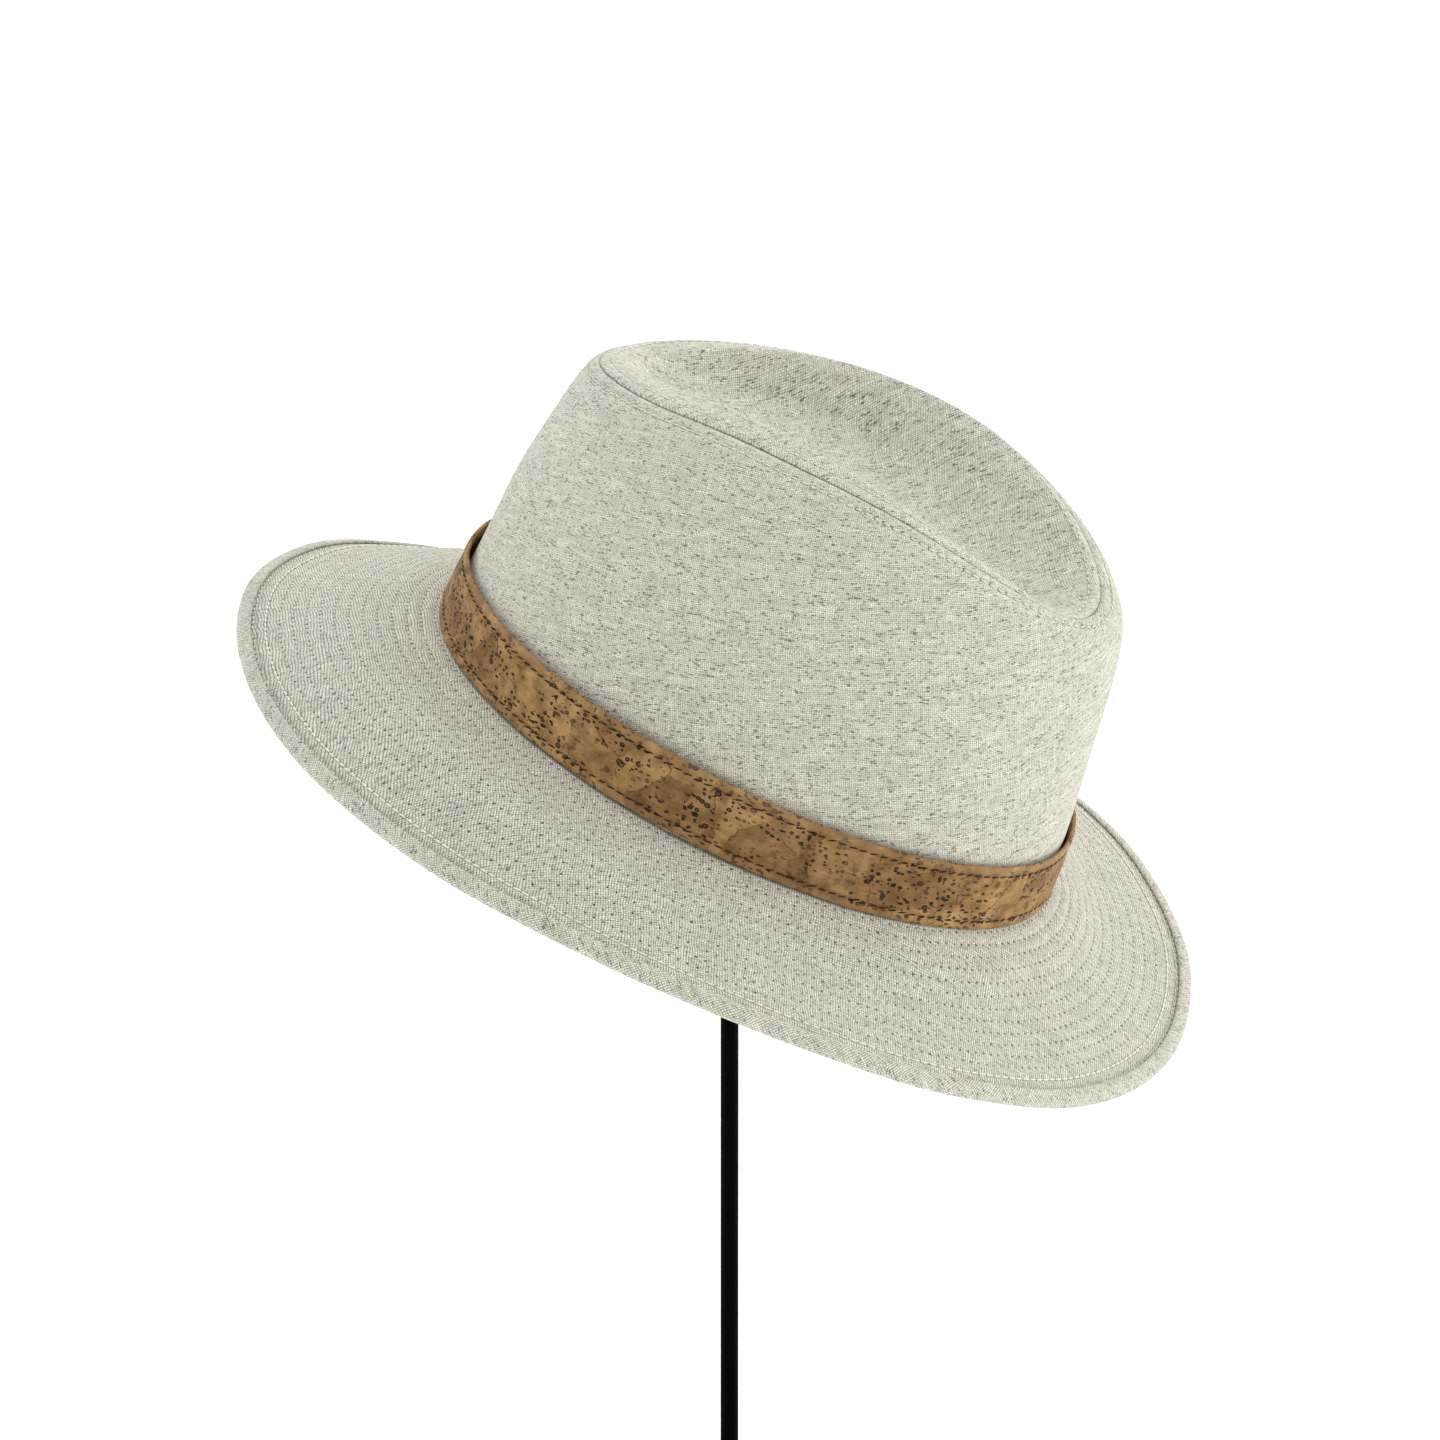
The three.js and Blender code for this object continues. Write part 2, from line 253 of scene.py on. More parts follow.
def canvas(name, turn, thread=0.6, rib_shading=0.0, flecked=0.85, quilted=False):
    """Unbleached cotton canvas, plain weave: a matt, warm off-white with a slubby weft whose grey
    fibres show as flecks one thread thick. The real threads are 0.45 mm apart, and are drawn 0.6 mm
    apart or more so that they show. turn is the angle of the weft on the piece, the argument after
    thread sets how dark the painted shade is between its raised warp threads, and flecked is how
    dark its flecks are. A quilted piece has the needle holes of its rows of stitches, painted dark
    as the shade inside them, and a line of painted shade where it meets the next piece."""
    cloth = bpy.data.materials.new(name)
    cloth.use_nodes = True
    tree = cloth.node_tree
    shader = tree.nodes["Principled BSDF"]
    shader.inputs["Roughness"].default_value = 0.92
    shader.inputs["Specular IOR Level"].default_value = 0.2
    shader.inputs["Sheen Weight"].default_value = 0.2
    shader.inputs["Sheen Roughness"].default_value = 0.6
    uv = add(tree, "ShaderNodeUVMap", {"uv_map": "cloth"})
    turned = {"Vector": uv, "Scale": (1000, 1000, 1000), "Rotation": (0, 0, math.radians(turn))}
    mm = add(tree, "ShaderNodeMapping", turned)
    drift = add(tree, "ShaderNodeTexNoise", {"Vector": mm, "Scale": 0.11, "Detail": 1.0}, "Color")
    spot = add(
        tree,
        "ShaderNodeVectorMath",
        {"operation": "MULTIPLY_ADD", 0: drift, 1: (2.0, 2.0, 0), 2: mm},
    )
    x = add(tree, "ShaderNodeSeparateXYZ", {"Vector": spot})
    y = x.node.outputs["Y"]

    # The threads: each has its own row of noise, so that a fleck never crosses to the next one
    cluster = add(
        tree,
        "ShaderNodeTexNoise",
        {
            "Vector": add(tree, "ShaderNodeMapping", {"Vector": spot, "Scale": (0.16, 0.4, 1)}),
            "Scale": 1.0,
        },
    )
    flecks, tones = [], []
    for along, across, length, least in ((x, y, 2.2, 0.73), (y, x, 1.2, 0.77)):
        place = add(tree, "ShaderNodeMath", {"operation": "MULTIPLY", 0: across, 1: 1 / 0.34})
        row = add(tree, "ShaderNodeMath", {"operation": "FLOOR", 0: place})
        row = add(tree, "ShaderNodeMath", {"operation": "MULTIPLY", 0: row, 1: 7.31})
        for reach, kept in ((length, flecks), (3.5, tones)):
            run = add(tree, "ShaderNodeMath", {"operation": "MULTIPLY", 0: along, 1: 1 / reach})
            yarn = add(
                tree,
                "ShaderNodeTexNoise",
                {
                    "noise_dimensions": "2D",
                    "Vector": add(tree, "ShaderNodeCombineXYZ", {"X": run, "Y": row}),
                    "Scale": 1.0,
                    "Detail": 1.0,
                },
            )
            kept.append(yarn)
        clustered = add(
            tree, "ShaderNodeMath", {"operation": "MULTIPLY_ADD", 0: cluster, 1: 0.2, 2: flecks[-1]}
        )
        flecks[-1] = add(
            tree,
            "ShaderNodeMapRange",
            {"Value": clustered, "From Min": least, "From Max": least + 0.08},
        )
    over = []
    for run in (x, y):
        phase = add(tree, "ShaderNodeMath", {"operation": "MULTIPLY", 0: run, 1: math.pi / thread})
        over.append(add(tree, "ShaderNodeMath", {"operation": "SINE", 0: phase}))
    woven = add(tree, "ShaderNodeMath", {"operation": "MULTIPLY", 0: over[0], 1: over[1]})
    warp_shows = add(tree, "ShaderNodeMath", {"operation": "GREATER_THAN", 0: woven, 1: 0.0})
    crown_of_thread = add(tree, "ShaderNodeMath", {"operation": "ABSOLUTE", 0: woven})
    rib = add(tree, "ShaderNodeMath", {"operation": "ABSOLUTE", 0: over[0]})

    # Its colours: weft and warp yarn, grey flecks, the shade between the threads, soft streaks
    hidden = add(
        tree, "ShaderNodeMapRange", {"Value": warp_shows, "To Min": 1.0, "To Max": 0.5}
    )
    weft_fleck = add(tree, "ShaderNodeMath", {"operation": "MULTIPLY", 0: flecks[0], 1: hidden})
    warp_fleck = add(tree, "ShaderNodeMath", {"operation": "MULTIPLY", 0: flecks[1], 1: 0.5})
    fleck_shows = add(
        tree, "ShaderNodeMath", {"operation": "MAXIMUM", 0: weft_fleck, 1: warp_fleck}
    )
    tone_shows = add(tree, "ShaderNodeMix", {"Factor": warp_shows, 2: tones[0], 3: tones[1]})
    pale = add(
        tree,
        "ShaderNodeMixRGB",
        {"Fac": warp_shows, "Color1": linear("eae8d6"), "Color2": linear("e0ddcc")},
    )
    shade = add(
        tree,
        "ShaderNodeMapRange",
        {"Value": tone_shows, "From Min": 0.3, "From Max": 0.7, "To Min": 0.76, "To Max": 1.14},
    )
    between = add(
        tree,
        "ShaderNodeMapRange",
        {"Value": crown_of_thread, "From Max": 0.6, "To Min": 0.5, "To Max": 1.04},
    )
    streak = add(
        tree,
        "ShaderNodeTexNoise",
        {
            "Vector": add(tree, "ShaderNodeMapping", {"Vector": spot, "Scale": (0.08, 0.8, 1)}),
            "Scale": 1.0,
            "Detail": 3.0,
        },
    )
    streaks = add(
        tree,
        "ShaderNodeMapRange",
        {"Value": streak, "From Min": 0.3, "From Max": 0.7, "To Min": 0.86, "To Max": 1.12},
    )
    light = add(tree, "ShaderNodeMath", {"operation": "MULTIPLY", 0: shade, 1: between})
    light = add(tree, "ShaderNodeMath", {"operation": "MULTIPLY", 0: light, 1: streaks})
    # Painted shade in the grooves between the raised warp threads, darker away from each thread's
    # crown
    if rib_shading:
        rib_shade = add(
            tree,
            "ShaderNodeMapRange",
            {"Value": rib, "From Max": 0.75, "To Min": 1.0 - rib_shading, "To Max": 1.0},
        )
        light = add(tree, "ShaderNodeMath", {"operation": "MULTIPLY", 0: light, 1: rib_shade})
    colour = add(
        tree, "ShaderNodeVectorMath", {"operation": "SCALE", 0: pale, "Scale": light}
    )
    fleck_depth = add(tree, "ShaderNodeMath", {"operation": "MULTIPLY", 0: fleck_shows, 1: flecked})
    colour = add(
        tree,
        "ShaderNodeMixRGB",
        {"Fac": fleck_depth, "Color1": colour, "Color2": linear("3e423c")},
    )
    height = add(
        tree,
        "ShaderNodeMath",
        {"operation": "MULTIPLY_ADD", 0: tone_shows, 1: 1.2, 2: crown_of_thread},
    )

    if quilted:
        # Needle holes 3 mm apart, on every second row between those of its neighbours, painted
        # near-black as the shade inside them, darker in the deeper ones
        rows = add(tree, "ShaderNodeUVMap", {"uv_map": "rows"})
        cell = add(tree, "ShaderNodeVectorMath", {"operation": "FRACTION", 0: rows})
        offset = add(
            tree, "ShaderNodeVectorMath", {"operation": "SUBTRACT", 0: cell, 1: (0.5, 0.5, 0)}
        )
        offset = add(
            tree, "ShaderNodeVectorMath", {"operation": "MULTIPLY", 0: offset, 1: (3.0, 4.2, 0)}
        )
        reach = add(tree, "ShaderNodeVectorMath", {"operation": "LENGTH", 0: offset}, "Value")
        ragged = add(tree, "ShaderNodeTexNoise", {"Vector": mm, "Scale": 0.9})
        reach = add(
            tree, "ShaderNodeMath", {"operation": "MULTIPLY_ADD", 0: ragged, 1: 0.34, 2: reach}
        )
        hole = add(
            tree,
            "ShaderNodeMapRange",
            {"Value": reach, "From Min": 0.48, "From Max": 0.65, "To Min": 0.95, "To Max": 0.0},
        )
        deep = add(tree, "ShaderNodeTexNoise", {"Vector": mm, "Scale": 0.3, "Detail": 1.0})
        deep = add(
            tree,
            "ShaderNodeMapRange",
            {"Value": deep, "From Min": 0.35, "From Max": 0.6, "To Min": 0.5, "To Max": 1.0},
        )
        hole = add(tree, "ShaderNodeMath", {"operation": "MULTIPLY", 0: hole, 1: deep})
        # Where the piece meets the next one, at -0.25 on the map, a dark line is painted shade of
        # the fold
        fold_shade = add(tree, "ShaderNodeSeparateXYZ", {"Vector": rows}, "Y")
        fold_shade = add(tree, "ShaderNodeMath", {"operation": "ADD", 0: fold_shade, 1: 0.25})
        fold_shade = add(tree, "ShaderNodeMath", {"operation": "ABSOLUTE", 0: fold_shade})
        fold_shade = add(
            tree,
            "ShaderNodeMapRange",
            {"Value": fold_shade, "From Min": 0.02, "From Max": 0.08, "To Min": 0.22, "To Max": 0.0},
        )
        hole = add(tree, "ShaderNodeMath", {"operation": "MAXIMUM", 0: hole, 1: fold_shade})
        # The painted shade of the needle holes and of the fold darkens the cloth
        colour = add(
            tree, "ShaderNodeMixRGB", {"Fac": hole, "Color1": colour, "Color2": linear("23261f")}
        )
        dimple = add(
            tree,
            "ShaderNodeMapRange",
            {"Value": reach, "From Min": 0.3, "From Max": 1.3, "To Min": -3.0, "To Max": 0.0},
        )
        height = add(tree, "ShaderNodeMath", {"operation": "ADD", 0: height, 1: dimple})
    tree.links.new(colour, shader.inputs["Base Color"])
    relief = add(
        tree, "ShaderNodeBump", {"Strength": 0.6, "Distance": 0.00016, "Height": height}
    )
    tree.links.new(relief, shader.inputs["Normal"])
    return cloth


def whole_piece(piece, slot, *nodes, material=None):
    """Gives a finished piece its material and its place in the frame."""
    if material:
        piece.data.materials.append(material)
    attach(piece, "root")
    if nodes:
        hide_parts(*nodes)


side_steps = np.concatenate([np.linspace(0, 0.9, 76), np.linspace(0.9, 1, 31)[1:]])[:, None]
side_surface = rumpled(rings(CROWN_ROWS, side_steps * (SEAM_PLACE - 0.012)), 0.9, 34, 1.0)
side_run = run_of(side_surface)
side_relief = seam_relief(side_run[-1] - side_run) + crest_pinch(side_steps * SEAM_PLACE)
side_surface += outwards(side_surface) * side_relief[..., None]
side_loops = wall(side_surface, CLOTH)
side_from_seam = side_run[-1] - side_run
side_from_seam = np.concatenate(
    [side_from_seam, side_from_seam[-1:], side_from_seam[::-1], side_from_seam[:1]]
)
side_maps = {"cloth": round_head(side_loops), "rows": seam_map(side_loops, side_from_seam)}
crown_side = sewn_piece("crown_side_cloth", side_loops, side_maps)
side_canvas = canvas("cotton canvas, side wall", -21, quilted=True)
whole_piece(crown_side, "canvas", "crown_side", material=side_canvas)


# The tip of the crown
# An oval of the same canvas, sewn to the side wall and steamed over the rim into a long dent.
last_row = len(CROWN_ROWS) - 1
tip_steps = np.concatenate([np.linspace(0, 0.9, 70), np.linspace(0.9, 1, 31)[1:]])[:, None]
tip_place = last_row - 0.15 + tip_steps * (SEAM_PLACE + 0.012 - last_row + 0.15)
tip_surface = rumpled(rings(CROWN_ROWS, tip_place)[::-1], 0.9, 34, 1.0)
tip_relief = seam_relief(run_of(tip_surface)) + crest_pinch(tip_place[::-1])
tip_surface += outwards(tip_surface) * tip_relief[..., None]
tip_loops = np.concatenate([(tip_surface - outwards(tip_surface) * CLOTH)[::-1], tip_surface])
middle = CROWN_ROWS[last_row]
tip_from_seam = np.concatenate([run_of(tip_surface)[::-1], run_of(tip_surface)])
tip_from_seam = np.minimum(tip_from_seam, 2.9)  # the needle holes of the tip's row close up again
tip = sewn_piece(
    "crown_tip_cloth",
    tip_loops,
    {"cloth": in_plan(tip_loops), "rows": seam_map(tip_loops, tip_from_seam)},
    closed=False,
    poles=[
        (0, [middle[2], 0, middle[3] - CLOTH]),
        (len(tip_loops) - 1, [middle[2], 0, middle[3]]),
    ],
)
whole_piece(tip, "canvas", "crown_tip", material=canvas("cotton canvas, tip", -48, quilted=True))


# The topstitching of the tip's seam
# Two rows of cotton-wrapped thread, 4 mm to each side of the seam, that hold its turnings flat.
def ring_at(surface, distance):
    """The ring at a distance in mm from a surface's first loop, as points and normals."""
    run, normal = run_of(surface), outwards(surface)
    distance = np.broadcast_to(distance, AROUND)
    loops = np.arange(len(surface))
    place = np.array([np.interp(distance[j], run[:, j], loops) for j in range(AROUND)])
    low = np.clip(np.floor(place).astype(int), 0, len(surface) - 2)
    t, j = (place - low)[:, None], np.arange(AROUND)
    return [(1 - t) * grid[low, j] + t * grid[low + 1, j] for grid in (surface, normal)]


def stitch_rows(name, rows, rise):
    """Closed lines for rows of stitches. A row is points, normals, its stitches and its first place
    in stitches. Each point keeps its normal and the number of stitches."""
    points, normals, counts, edges = [], [], [], []
    for ring, normal, stitches, start in rows:
        steps = np.linalg.norm(np.roll(ring, -1, 0) - ring, axis=1)
        run = np.concatenate([[0], np.cumsum(steps)])
        want = (np.arange(AROUND) / AROUND + start / stitches) % 1 * run[-1]
        first = len(points)
        for axis_points, kept in ((ring + normal * rise, points), (normal, normals)):
            looped = np.vstack([axis_points, axis_points[:1]])
            kept.extend(np.stack([np.interp(want, run, looped[:, a]) for a in range(3)], 1))
        counts += [stitches] * AROUND
        edges += [(first + j, first + (j + 1) % AROUND) for j in range(AROUND)]
    mesh = bpy.data.meshes.new(name)
    mesh.from_pydata(placed(np.array(points)).tolist(), edges, [])
    facing = placed(np.array(normals) * 1000) - np.array(HAT_ZERO)
    out = mesh.attributes.new("out", "FLOAT_VECTOR", "POINT")
    out.data.foreach_set("vector", facing.reshape(-1))
    mesh.attributes.new("stitches", "INT", "POINT").data.foreach_set("value", counts)
    piece = bpy.data.objects.new(name, mesh)
    bpy.context.collection.objects.link(piece)
    return piece


sewing = bpy.data.node_groups.new("sewn rows", "GeometryNodeTree")
sewing.interface.new_socket("Rows", in_out="INPUT", socket_type="NodeSocketGeometry")
for label in ("Stitch length", "Stitch width", "Stitch height", "Slant"):
    sewing.interface.new_socket(label, in_out="INPUT", socket_type="NodeSocketFloat")
sewing.interface.new_socket("Seed", in_out="INPUT", socket_type="NodeSocketInt")
sewing.interface.new_socket("Thread", in_out="INPUT", socket_type="NodeSocketMaterial")
sewing.interface.new_socket("Stitches", in_out="OUTPUT", socket_type="NodeSocketGeometry")
given = sewing.nodes.new("NodeGroupInput").outputs
line = add(sewing, "GeometryNodeMeshToCurve", {"Mesh": given["Rows"]})
number = add(sewing, "GeometryNodeInputNamedAttribute", {"data_type": "INT", "Name": "stitches"})
line = add(sewing, "GeometryNodeResampleCurve", {"mode": "COUNT", "Curve": line, "Count": number})
outward = add(
    sewing, "GeometryNodeInputNamedAttribute", {"data_type": "FLOAT_VECTOR", "Name": "out"}
)
tangent = add(sewing, "GeometryNodeInputTangent")
turn = add(sewing, "FunctionNodeAlignRotationToVector", {"axis": "X", "Vector": tangent})
turn = add(
    sewing,
    "FunctionNodeAlignRotationToVector",
    {"axis": "Z", "pivot_axis": "X", "Rotation": turn, "Vector": outward},
)
least = add(sewing, "ShaderNodeMath", {"operation": "MULTIPLY", 0: given["Slant"], 1: 0.2})
slant = add(
    sewing,
    "FunctionNodeRandomValue",
    {"data_type": "FLOAT", 2: least, 3: given["Slant"], "Seed": given["Seed"]},
    1,
)
slant = add(sewing, "FunctionNodeAxisAngleToRotation", {"Axis": (0, 0, 1), "Angle": slant})
turn = add(
    sewing,
    "FunctionNodeRotateRotation",
    {"rotation_space": "LOCAL", "Rotation": turn, "Rotate By": slant},
)
size = add(
    sewing,
    "ShaderNodeCombineXYZ",
    {"X": given["Stitch height"], "Y": given["Stitch width"], "Z": given["Stitch length"]},
)
stitch = add(sewing, "GeometryNodeMeshUVSphere", {"Segments": 6, "Rings": 4, "Radius": 0.5})
stitch = add(
    sewing,
    "GeometryNodeTransform",
    {"Geometry": stitch, "Rotation": (0, math.pi / 2, 0), "Scale": size},
)
sewn = add(
    sewing, "GeometryNodeInstanceOnPoints", {"Points": line, "Instance": stitch, "Rotation": turn}
)
sewn = add(sewing, "GeometryNodeRealizeInstances", {"Geometry": sewn})
sewn = add(sewing, "GeometryNodeSetShadeSmooth", {0: sewn})
sewn = add(sewing, "GeometryNodeSetMaterial", {"Geometry": sewn, "Material": given["Thread"]})
sewing.links.new(sewn, sewing.nodes.new("NodeGroupOutput").inputs["Stitches"])


def sew(piece, slot, **inputs):
    """Sews stitches along a piece's rows and keeps them as its mesh."""
    modifier = piece.modifiers.new("sewing", "NODES")
    modifier.node_group = sewing
    for item in sewing.interface.items_tree:
        label = item.name.replace(" ", "_").lower()
        if item.in_out == "INPUT" and label in inputs:
            modifier[item.identifier] = inputs[label]
    finished = piece.evaluated_get(bpy.context.evaluated_depsgraph_get())
    mesh = bpy.data.meshes.new_from_object(finished)
    mesh.materials.clear()
    mesh.materials.append(inputs["thread"])
    mesh.polygons.foreach_set("material_index", [0] * len(mesh.polygons))
    piece.modifiers.clear()
    piece.data = mesh
    whole_piece(piece, slot)


def spun_thread(name, colour, shadow):
    """Cotton-wrapped sewing thread of two plies: matt, its twist a fine dark and pale barring.
    The real twist is 0.5 mm long, as drawn."""
    thread = bpy.data.materials.new(name)
    thread.use_nodes = True
    tree = thread.node_tree
    shader = tree.nodes["Principled BSDF"]
    shader.inputs["Roughness"].default_value = 0.8
    shader.inputs["Specular IOR Level"].default_value = 0.25
    spot = add(tree, "ShaderNodeTexCoord", out="Object")
    ply = add(tree, "ShaderNodeTexNoise", {"Vector": spot, "Scale": 2000.0, "Detail": 1.0})
    mixed = add(
        tree,
        "ShaderNodeMixRGB",
        {"Fac": ply, "Color1": linear(shadow), "Color2": linear(colour)},
    )
    tree.links.new(mixed, shader.inputs["Base Color"])
    relief = add(tree, "ShaderNodeBump", {"Strength": 0.4, "Distance": 0.0001, "Height": ply})
    tree.links.new(relief, shader.inputs["Normal"])
    return thread


def stitches_in(ring, pitch):
    """How many stitches of a pitch in mm fit a closed ring."""
    return round(float(np.linalg.norm(np.roll(ring, -1, 0) - ring, axis=1).sum()) / pitch)


ecru_thread = spun_thread("cotton-wrapped thread, ecru", "f6f3e5", "cfccbd")
seam_rows = []
for surface, distance in ((side_surface, side_run[-1] - TOPSTITCHING), (tip_surface, TOPSTITCHING)):
    ring, normal = ring_at(surface, distance)
    seam_rows.append((ring, normal, stitches_in(ring, STITCH_PITCH), 0.0))
seam_stitches = stitch_rows("crown_seam_topstitching", seam_rows, 0.2)
sew(
    seam_stitches,
    "canvas",
    stitch_length=0.0023,
    stitch_width=0.00055,
    stitch_height=0.0005,
    slant=0.12,
    seed=3,
    thread=ecru_thread,
)


# The brim
# Two layers of the canvas with a stiff cloth between, sewn through in rings 4.2 mm apart.
# The thread pulls each ring into a shallow channel, deepest near the crown.
BRIM_THICKNESS = 2.0
ROW_SPACING = 4.2
FIRST_ROW = 8.8
BRIM_ROWS = [
    [160.9, 139.6, -2.2, -23.5, 6.4, 2.2, -0.09, -4.4],
    [131.9, 115.1, -1.1, -10, 0, 4.3, 0, 0],
    [115, 98.9, -0.4, -3, 0, 2, 0.02, 0],
    [104, 88.5, 0, 1.2, 0, 0.5, 0.03, 0],
    [100.2, 84.9, 0, 1.3, 0, 0.4, 0.03, 0],
]
coarse_place = np.linspace(0.035, len(BRIM_ROWS) - 1, 400)
coarse_run = run_of(rings(BRIM_ROWS, coarse_place[:, None])).mean(1)
brim_place = np.interp(np.linspace(0, coarse_run[-1], 122), coarse_run, coarse_place)[:, None]
brim_surface = rumpled(rings(BRIM_ROWS, brim_place), 0.8, 38, 2.0)
brim_run = run_of(brim_surface)
BRIM_WIDTH = float(brim_run[-1].mean())
brim_across = brim_run / brim_run[-1] * BRIM_WIDTH
channel = 0.5 + 0.5 * np.cos(2 * np.pi * (brim_across - FIRST_ROW) / ROW_SPACING)
depth = 0.07 + 0.3 * bump_at(brim_across, BRIM_WIDTH - 9, 6)
depth *= 1 / (1 + np.exp(-(brim_across - 7.6) * 3))
sunk = channel**1.5 * depth + 0.35 * bump_at(brim_across, 5.7, 0.45)
sunk += 0.2 * bump_at(brim_across, FIRST_ROW, 0.7)
brim_surface -= outwards(brim_surface) * sunk[..., None]
brim_loops = wall(brim_surface, BRIM_THICKNESS)

row_count = int((BRIM_WIDTH - 4 - FIRST_ROW) / ROW_SPACING) + 1
brim_rings = []
for row in range(row_count):
    distance = (FIRST_ROW + row * ROW_SPACING) / BRIM_WIDTH * brim_run[-1]
    ring, normal = ring_at(brim_surface, distance)
    brim_rings.append((ring, normal, stitches_in(ring, STITCH_PITCH), 0.5 * (row % 2)))
across = np.concatenate(
    [brim_across, brim_across[-1:], brim_across[::-1], brim_across[:1]]
)
nearest = np.clip(np.round((across - FIRST_ROW) / ROW_SPACING).astype(int), 0, row_count - 1)
stitches_of = np.array([row[2] for row in brim_rings])
start_of = np.array([row[3] for row in brim_rings])
steps = np.linalg.norm(np.roll(brim_loops, -1, 1) - brim_loops, axis=2)
share = np.hstack([np.zeros((len(steps), 1)), np.cumsum(steps, 1)]) / steps.sum(1)[:, None]
nearest, across = (np.hstack([grid, grid[:, :1]]) for grid in (nearest, across))
stitch_map = np.stack(
    [
        share * stitches_of[nearest] - start_of[nearest],
        (across - FIRST_ROW) / ROW_SPACING + 0.5,
    ],
    -1,
)
brim = sewn_piece("brim_cloth", brim_loops, {"cloth": in_plan(brim_loops), "rows": stitch_map})
brim_canvas = canvas("cotton canvas, brim", -35, 0.76, 0.45, 0.62, quilted=True)
whole_piece(brim, "canvas", "brim", material=brim_canvas)
brim_stitches = stitch_rows("brim_stitches", brim_rings[1:], 0.0)
sew(
    brim_stitches,
    "canvas",
    stitch_length=0.0021,
    stitch_width=0.00045,
    stitch_height=0.0003,
    slant=0.15,
    seed=5,
    thread=spun_thread("cotton-wrapped thread, natural", "e6e3d5", "b9b6a8"),
)


# The binding of the brim
# A bias strip of the canvas folded over the edge, with its raw edges turned under. The row of cream
# stitches inside it holds the brim's layers together at the edge.
binding_run = np.array(
    [1, 1, 3, 4.8, 5.2, 5, 4, 3, 1.5, 0.5, 0.1, 0, 0.1, 0.5, 1.5, 3, 4, 4.9, 5.2, 4.9, 3]
)
binding_rise = np.array(
    [0.1, -2.1, -2.15, -2.15, -2.5, -2.95, -3.2, -3.25, -3.15, -2.5]
    + [-1.8, -1, -0.2, 0.5, 1.15, 1.3, 1.3, 1.1, 0.6, 0.15, 0.15]
)
edge_surface = rumpled(rings(BRIM_ROWS, np.linspace(0, 0.5, 60)[:, None]), 0.8, 38, 2.0)
binding_loops = []
for run, rise in zip(binding_run, binding_rise):
    ring, normal = ring_at(edge_surface, run)
    binding_loops.append(ring + normal * rise)
binding_loops = np.array(binding_loops)
binding = sewn_piece("brim_binding_cloth", binding_loops, {"cloth": round_head(binding_loops)})
whole_piece(
    binding, "canvas", "brim_binding", material=canvas("cotton canvas, bias binding", 45, 0.7, 0.3)
)
cream_row = stitch_rows("brim_edge_stitches", brim_rings[:1], 0.22)
sew(
    cream_row,
    "canvas",
    stitch_length=0.0031,
    stitch_width=0.0006,
    stitch_height=0.0006,
    slant=0.1,
    seed=7,
    thread=spun_thread("cotton-wrapped thread, cream", "fffdf2", "ece8d8"),
)


# The hat band
# A strip of thin cork on a cloth backing, its edges folded and sewn, laid round the crown's foot.
BAND_ROWS = [
    [104, 88.1, 0, 2, 0.1, 0.7, 0.03, 0],
    [103.7, 87.2, 0, 12.2, 0.4, 0.8, 0.03, 0],
    [103, 86, -0.1, 22.5, 0.6, 1, 0.03, 0],
]
BAND_STITCHING = 2.7
band_surface = rumpled(rings(BAND_ROWS, np.linspace(0, 2, 76)[:, None]), 0.4, 22, 4.0)
band_run = run_of(band_surface)
from_edge = np.minimum(band_run, band_run[-1] - band_run)
folded = 0.3 * bump_at(from_edge, 1.2, 0.9) - 0.34 * bump_at(from_edge, BAND_STITCHING, 0.5)
band_surface += outwards(band_surface) * folded[..., None]
band_loops = wall(band_surface, 1.2)
band = sewn_piece("hat_band_cork", band_loops, {"cloth": round_head(band_loops)})

# Cork leather: shaved bark sheet, pressed and oiled, so a soft warm brown. It has the bark's dark
# pores, 0.4 to 1.5 mm wide, short slanting cracks, and patches whose dark rims are growth marks.
PATCHES_PER_MM = 0.065
cork = bpy.data.materials.new("cork leather")
cork.use_nodes = True
tree = cork.node_tree
cork_shader = tree.nodes["Principled BSDF"]
cork_shader.inputs["Specular IOR Level"].default_value = 0.2
uv = add(tree, "ShaderNodeUVMap", {"uv_map": "cloth"})
mm = add(tree, "ShaderNodeMapping", {"Vector": uv, "Scale": (1000, 1000, 1000)})
bend = add(tree, "ShaderNodeTexNoise", {"Vector": mm, "Scale": 0.11, "Detail": 3.0}, "Color")
spot = add(
    tree, "ShaderNodeVectorMath", {"operation": "MULTIPLY_ADD", 0: bend, 1: (9, 9, 0), 2: mm}
)
patch = add(
    tree,
    "ShaderNodeTexVoronoi",
    {"voronoi_dimensions": "2D", "Vector": spot, "Scale": PATCHES_PER_MM},
    "Color",
)
patch_tone = add(tree, "ShaderNodeSeparateColor", {"Color": patch})
rim = add(
    tree,
    "ShaderNodeTexVoronoi",
    {
        "voronoi_dimensions": "2D",
        "feature": "DISTANCE_TO_EDGE",
        "Vector": spot,
        "Scale": PATCHES_PER_MM,
    },
)
vein = add(
    tree,
    "ShaderNodeMapRange",
    {"Value": rim, "From Min": 0.004, "From Max": 0.022, "To Min": 1.0, "To Max": 0.0},
)
broken = add(tree, "ShaderNodeTexNoise", {"Vector": mm, "Scale": 0.16, "Detail": 2.0})
broken = add(
    tree,
    "ShaderNodeMapRange",
    {"Value": broken, "From Min": 0.45, "From Max": 0.54, "To Max": 0.8},
)
vein = add(tree, "ShaderNodeMath", {"operation": "MULTIPLY", 0: vein, 1: broken})
slanted = add(
    tree,
    "ShaderNodeMapping",
    {"Vector": mm, "Rotation": (0, 0, math.radians(-40)), "Scale": (0.12, 1.1, 1)},
)
grain = add(tree, "ShaderNodeTexNoise", {"Vector": slanted, "Scale": 1.0, "Detail": 4.0})
